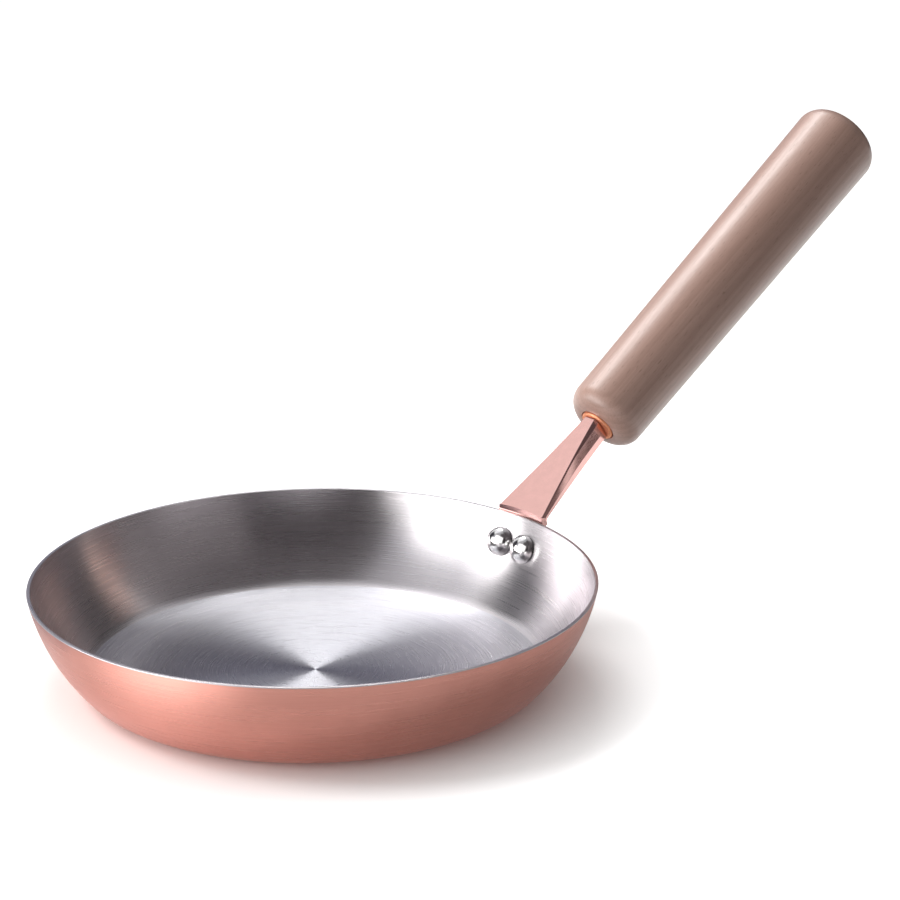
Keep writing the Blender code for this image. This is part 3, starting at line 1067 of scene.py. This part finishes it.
@dataclass
class Grip:
    """Turned wooden grip, with its collar and the stud and insert that hold it.

    It ends 0.02 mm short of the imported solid, whose flat facets lie inside the true round.
    """

    frame: Matrix
    length: float = 0.16848
    near_radius: float = 0.01518
    far_radius: float = 0.01734
    far_round: float = 0.0069
    near_land: float = 0.0006
    collar_radius: float = 0.0070
    collar_thickness: float = 0.0044
    collar_proud: float = 0.0009
    collar_round: float = 0.0012
    stud_radius: float = 0.0024
    stud_in_grip: float = 0.0440
    stud_in_stem: float = 0.0130
    insert_radius: float = 0.0044
    insert_length: float = 0.0225
    mouth: float = 0.0002
    turn_steps: int = 160
    round_steps: int = 20
    collar_steps: int = 96
    collar_round_steps: int = 8
    bore_steps: int = 48

    @property
    def socket_radius(self) -> float:
        """Radius of the socket in the wood that takes the collar."""
        return self.collar_radius + FIT_GAP

    @property
    def socket_depth(self) -> float:
        """Depth of the socket in the wood that takes the collar."""
        return self.collar_thickness - self.collar_proud + FIT_GAP

    def stud_bore(self) -> Piece:
        """Solid of the tapped hole in the stem."""
        bottom = -self.stud_in_stem - FIT_GAP
        top = self.socket_depth
        radius = self.stud_radius + FIT_GAP
        section = [(0.0, bottom), (radius, bottom), (radius, top), (0.0, top)]
        return spun("stud_hole", section, self.bore_steps, self.frame)

    def wood(self) -> Piece:
        """Grip with its socket and its stepped bore."""
        near_round = self.near_radius - self.socket_radius - self.near_land
        lean = math.atan((self.far_radius - self.near_radius) / self.length)
        far_centre = (self.far_radius - self.far_round, self.length - self.far_round)
        near_centre = (self.near_radius - near_round, near_round)
        insert_bore = self.insert_radius + FIT_GAP
        insert_floor = self.socket_depth + self.insert_length + 2 * FIT_GAP
        stud_hole = self.stud_radius + FIT_GAP
        stud_floor = self.stud_in_grip + FIT_GAP
        section = [(0.0, self.length)]
        section += arc(far_centre, self.far_round, math.pi / 2, -lean, self.round_steps)
        section += arc(near_centre, near_round, -lean, -math.pi / 2, self.round_steps)
        section += [
            (self.socket_radius + self.mouth, 0.0),
            (self.socket_radius, self.mouth),
            (self.socket_radius, self.socket_depth),
            (insert_bore, self.socket_depth),
            (insert_bore, insert_floor),
            (stud_hole, insert_floor),
            (stud_hole, stud_floor),
            (0.0, stud_floor),
        ]
        return spun("beech_grip", section, self.turn_steps, self.frame)

    def collar(self) -> Piece:
        """Ring let into the wood, which the stem's end stands on."""
        bore = self.stud_radius + FIT_GAP
        front = -self.collar_proud
        back = front + self.collar_thickness
        edge_centre = (self.collar_radius - self.collar_round, front + self.collar_round)
        section = [(bore, back), (self.collar_radius, back)]
        section += arc(edge_centre, self.collar_round, 0.0, -math.pi / 2, self.collar_round_steps)
        section.append((bore, front))
        return spun("copper_collar", section, self.collar_steps, self.frame, closed=True)

    def build(self, nodes: dict[str, Piece]) -> None:
        """Build the grip and the collar, and dress all four pieces.

        Args:
            nodes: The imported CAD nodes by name.
        """
        settle(self.wood(), Slot.BEECH, "wooden_grip", Beech().material(self.frame))
        settle(self.collar(), Slot.COLLAR_COPPER, "grip_collar", COLLAR_COPPER.material())
        dress(nodes["handle_stud"], STUD_ZINC.material(self.frame))
        dress(nodes["threaded_insert"], INSERT_BRASS.material(self.frame))


def settle(piece: Piece, slot: Slot, node: str, *materials: bpy.types.Material) -> None:
    """Dress a piece, put it in place of a CAD node and report it.

    Args:
        piece: The new piece.
        slot: The record's slot that its finish belongs to; not used.
        node: The CAD node that it stands for.
        materials: Its finishes, in the order that its faces number them.
    """
    for material in materials:
        piece.data.materials.append(material)
    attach(piece, BODY)
    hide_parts(node)
    log.info("%s stands for %s, %d faces", piece.name, node, len(piece.data.polygons))


def dress(node: Piece, material: bpy.types.Material) -> None:
    """Give a CAD node that stays its finish and report it."""
    node.data.materials.clear()
    node.data.materials.append(material)
    log.info("%s keeps its mesh and gets %s", node.name, material.name)


# Studio and camera


def away_from_pan(turn: float, elevation: float) -> Vector:
    """Direction from the pan to a place in the studio.

    Args:
        turn: Degrees to the right of the line from the camera over the pan; 180 is the camera's side.
        elevation: Degrees above the floor.

    Returns:
        The unit vector.
    """
    side = math.radians(turn)
    rise = math.radians(elevation)
    away = Vector((math.sin(side) * math.cos(rise), math.cos(side) * math.cos(rise), math.sin(rise)))
    away.rotate(Matrix.Rotation(VIEW_TURN, 3, "Z"))
    return away


@dataclass(frozen=True)
class SoftBox:
    """Flat lamp that faces the pan, placed as the camera sees it."""

    name: str
    turn: float
    elevation: float
    distance: float
    width: float
    height: float
    radiance: float
    mirrored: bool = True
    only_on: tuple[str, ...] = ()
    aim: Triple = (0.0, 0.0, 0.03)

    def build(self) -> None:
        """Add the lamp, which may be kept out of reflections or kept to some pieces."""
        lamp = bpy.data.lights.new(self.name, "AREA")
        lamp.shape = "RECTANGLE"
        lamp.size = self.width
        lamp.size_y = self.height
        lamp.energy = self.radiance * math.pi * self.width * self.height
        spot = placed(self.name, lamp)
        away = away_from_pan(self.turn, self.elevation)
        spot.location = Vector(self.aim) + away * self.distance
        spot.rotation_euler = away.to_track_quat("Z", "Y").to_euler()
        spot.visible_camera = False
        spot.visible_glossy = self.mirrored
        if self.only_on:
            lit = bpy.data.collections.new(f"{self.name}_pieces")
            for piece in self.only_on:
                lit.objects.link(bpy.data.objects[piece])
            spot.light_linking.receiver_collection = lit


@dataclass(frozen=True)
class Screen:
    """Curved sheet outside the view that emits its own shade and that only metal sees: a painted
    reflection, darker or brighter than the white room, in its place.
    """

    name: str
    first_turn: float
    last_turn: float
    low: float
    high: float
    shade: Triple
    radius: float = 1.9
    steps: int = 24

    def profile(self) -> list[Vector]:
        """Points of the screen's first edge, from low to high."""
        heights = even(self.low, self.high, self.steps)
        return [away_from_pan(self.first_turn, height) * self.radius for height in heights]

    def build(self) -> None:
        """Add the screen, which only reflections show."""
        shape = bmesh.new()
        points = [shape.verts.new(point) for point in self.profile()]
        edges = [shape.edges.new(pair) for pair in zip(points, points[1:])]
        sweep = math.radians(self.first_turn - self.last_turn)
        bmesh.ops.spin(
            shape, geom=points + edges, cent=(0, 0, 0), axis=(0, 0, 1), angle=sweep, steps=2 * self.steps
        )
        screen = finished(self.name, shape, sharp=math.pi)
        # The sheet's light is a painted reflection, no lamp: black, emitting its shade, hidden from the
        # camera, diffuse light and shadows.
        painted_reflection = Graph(bpy.data.materials.new(f"{self.name}_cloth"))
        painted_reflection.set(
            Base_Color=(0.0, 0.0, 0.0),
            Specular_IOR_Level=0.0,
            Emission_Color=self.shade,
            Emission_Strength=1.0,
        )
        screen.data.materials.append(painted_reflection.owner)
        screen.visible_camera = False
        screen.visible_diffuse = False
        screen.visible_shadow = False


@dataclass(frozen=True)
class Card(Screen):
    """Screen that lies on the floor, with its low and high edges as distances from the pan's axis: a
    painted reflection of a darker table, which only metal sees.
    """

    def profile(self) -> list[Vector]:
        """Points of the card's first edge, from the inside out."""
        along = away_from_pan(self.first_turn, 0.0)
        lift = Vector((0.0, 0.0, FIT_GAP))
        return [along * away + lift for away in even(self.low, self.high, self.steps)]


@dataclass
class Studio:
    """Pale floor, soft lamps, painted reflections from screens that only metal sees, and the camera of
    the photograph.
    """

    camera_place: Triple = (-0.51337, -0.64835, 0.34174)
    camera_dip: float = math.radians(17.4028)
    lens: float = 100.0
    sensor: float = 36.0
    floor_radius: float = 6.0
    floor_steps: int = 128
    floor_roughness: float = 0.8
    floor_paint: float = 0.93
    # The floor emits white light only away from the pan: close to it the lift fades out, which paints a
    # soft shade around the pan's foot on top of its real shadow.
    floor_lift: float = 0.80
    lift_start: float = 0.070
    lift_end: float = 0.140
    # As metal sees it, the floor has darker paint and a low lift out to mirrored_end: painted shade in
    # the reflections.
    shaded_mirror_paint: float = 0.72
    shaded_mirror_lift: float = 0.115
    mirrored_start: float = 0.15
    mirrored_end: float = 0.26
    # Painted highlight: a bright emitting spot on the floor to the pan's front left, which only metal
    # sees.
    painted_highlight: float = 1.7
    painted_highlight_turn: float = -142.0
    painted_highlight_distance: float = 0.165
    painted_highlight_reach: float = 0.085
    ambient: float = 0.20
    lamps: tuple[SoftBox, ...] = (
        SoftBox("left_front_box", -120.0, 14.0, 0.85, 0.40, 0.50, 2.7),
        SoftBox("left_box", -93.0, 11.0, 0.85, 0.35, 0.42, 4.8),
        SoftBox("left_low_box", -130.0, 4.0, 0.80, 0.60, 0.10, 5.0),
        SoftBox("back_box", -8.0, 52.0, 1.20, 0.50, 0.35, 6.0),
        SoftBox("pan_key", -98.0, 50.0, 1.50, 0.50, 0.50, 11.0, mirrored=False),
        SoftBox(
            "grip_key", -62.0, 50.0, 1.00, 0.45, 0.50, 5.9,
            only_on=("beech_grip",), aim=(0.245, 0.0, 0.135),
        ),
        SoftBox(
            "rivet_key", -142.0, 30.0, 0.90, 1.15, 0.80, 1.3,
            only_on=RIVETS, aim=(0.094, 0.0, 0.050),
        ),
    )
    # Painted reflections: sheets that only metal sees, dark for painted shade and bright for painted
    # highlights and streaks.
    screens: tuple[Screen, ...] = (
        Screen("back_screen", -20.0, 18.0, 1.0, 42.0, (0.19, 0.19, 0.24)),
        Screen("right_screen", 18.0, 64.0, 1.0, 42.0, (0.045, 0.040, 0.042)),
        Screen("warm_screen", 65.0, 69.0, 4.0, 34.0, (1.30, 0.80, 0.62)),
        Screen("near_right_screen", 70.0, 145.0, 1.0, 42.0, (0.19, 0.172, 0.177)),
        Screen("camera_screen", 145.0, 215.0, 1.0, 42.0, (0.050, 0.043, 0.046)),
        Screen("back_high_screen", 22.0, 64.0, 42.0, 80.0, (0.40, 0.40, 0.42)),
        Screen("right_high_screen", 64.0, 215.0, 42.0, 80.0, (0.10, 0.09, 0.095)),
        Screen("left_top_screen", -145.0, -78.0, 43.0, 80.0, (0.46, 0.455, 0.475)),
        Screen("left_middle_screen", -145.0, -84.0, 28.0, 43.0, (0.42, 0.42, 0.47)),
        Screen("left_back_screen", -48.0, -20.0, 10.0, 41.0, (0.85, 0.85, 0.88)),
        Screen("middle_high_screen", -78.0, -22.0, 50.0, 80.0, (1.05, 1.05, 1.10)),
        Screen("gap_screen", -84.0, -60.0, 8.0, 42.0, (0.04, 0.038, 0.048)),
        Screen("slanted_gap_screen", -60.0, -46.5, 7.0, 42.0, (0.04, 0.038, 0.048)),
        Screen("top_screen", -180.0, 180.0, 80.0, 89.9, (0.45, 0.45, 0.47)),
        # Painted shade in reflections: cards on the floor that only metal sees, darker than the floor to
        # the right and to the left of the pan.
        Card("stem_table_card", 70.0, 97.0, 0.42, 0.85, (0.16, 0.14, 0.14)),
        Card("right_table_card", 97.0, 140.0, 0.19, 0.85, (0.24, 0.22, 0.22)),
        Card("left_table_card", -106.0, -35.0, 0.128, 1.9, (0.42, 0.42, 0.47)),
    )

    def camera(self) -> None:
        """Set the camera of the photograph."""
        lens = bpy.data.cameras.new("camera")
        lens.lens = self.lens
        lens.sensor_width = self.sensor
        view = placed("camera", lens)
        view.location = self.camera_place
        view.rotation_euler = (math.pi / 2 - self.camera_dip, 0.0, VIEW_TURN)
        bpy.context.scene.camera = view

    def floor(self) -> None:
        """White floor that keeps the pan's shadow, with painted light and shade. It emits white light
        away from the pan but not close to it, which paints a soft shade around the pan's foot on top of
        its real shadow. Metal sees it with darker paint and a low lift near the pan, a painted shade in
        the reflections, and with a painted highlight: a bright emitting spot to the pan's front left.
        """
        shape = bmesh.new()
        bmesh.ops.create_circle(
            shape, cap_ends=True, segments=self.floor_steps, radius=self.floor_radius
        )
        bmesh.ops.translate(shape, vec=(0.0, 0.0, -FIT_GAP), verts=shape.verts)
        floor = finished("floor", shape)
        graph = Graph(bpy.data.materials.new("white_floor"))
        place = graph.place()
        away = graph.distance(place, (0.0, 0.0, 0.0))
        # Lift seen by the camera, faded out near the pan: painted shade around its foot.
        seen = graph.remap(away, self.lift_start, self.lift_end, 0.0, self.floor_lift)
        seen = graph.times(graph.seen_by(*SEEN_RAYS[:2]), seen)
        # Painted highlight that only metal sees.
        spot = graph.distance(place, away_from_pan(self.painted_highlight_turn, 0.0) * self.painted_highlight_distance)
        painted_highlight = graph.remap(spot, 0.0, self.painted_highlight_reach, self.painted_highlight, 0.0)
        # Low lift near the pan for metal: painted shade in its reflections.
        far = graph.remap(
            away, self.mirrored_start, self.mirrored_end, self.shaded_mirror_lift, self.floor_lift
        )
        off_metal = graph.seen_by(SEEN_RAYS[2])
        paints = [(paint,) * 3 for paint in (self.floor_paint, self.shaded_mirror_paint)]
        graph.set(
            Base_Color=graph.blend(off_metal, *paints),
            Roughness=self.floor_roughness,
            Specular_IOR_Level=0.0,
            Emission_Color=(1.0, 1.0, 1.0),
            Emission_Strength=graph.plus(seen, graph.times(off_metal, graph.plus(far, painted_highlight))),
        )
        floor.data.materials.append(graph.owner)

    def world(self) -> None:
        """White surroundings, which also light the pan softly from all sides."""
        world = bpy.data.worlds.new("studio_white")
        bpy.context.scene.world = world
        graph = Graph(world, "Background")
        ends = (graph.seen_by(*SEEN_RAYS), 0.0, 1.0, self.ambient, 1.0)
        graph.set(Color=(1.0, 1.0, 1.0), Strength=graph.made("MapRange", ends))

    def build(self) -> None:
        """Build the whole studio."""
        bpy.context.scene.view_settings.view_transform = "Standard"
        self.camera()
        self.floor()
        self.world()
        for fitting in self.lamps + self.screens:
            fitting.build()


def main() -> None:
    """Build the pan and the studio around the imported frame."""
    logging.basicConfig(level=logging.INFO, format="%(name)s: %(message)s")
    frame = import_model()
    nodes = frame["nodes"]

    body = PanBody()
    body.build()
    axis = HandleAxis()
    rivets = Rivets(body.wall)
    grip = Grip(axis.frame(body.wall))
    bracket = HandleBracket(body.wall, axis)
    bracket.build([rivets.bore(1), rivets.bore(-1), grip.stud_bore()])
    rivets.build()
    grip.build(nodes)
    Studio().build()


if __name__ == "__main__":
    main()
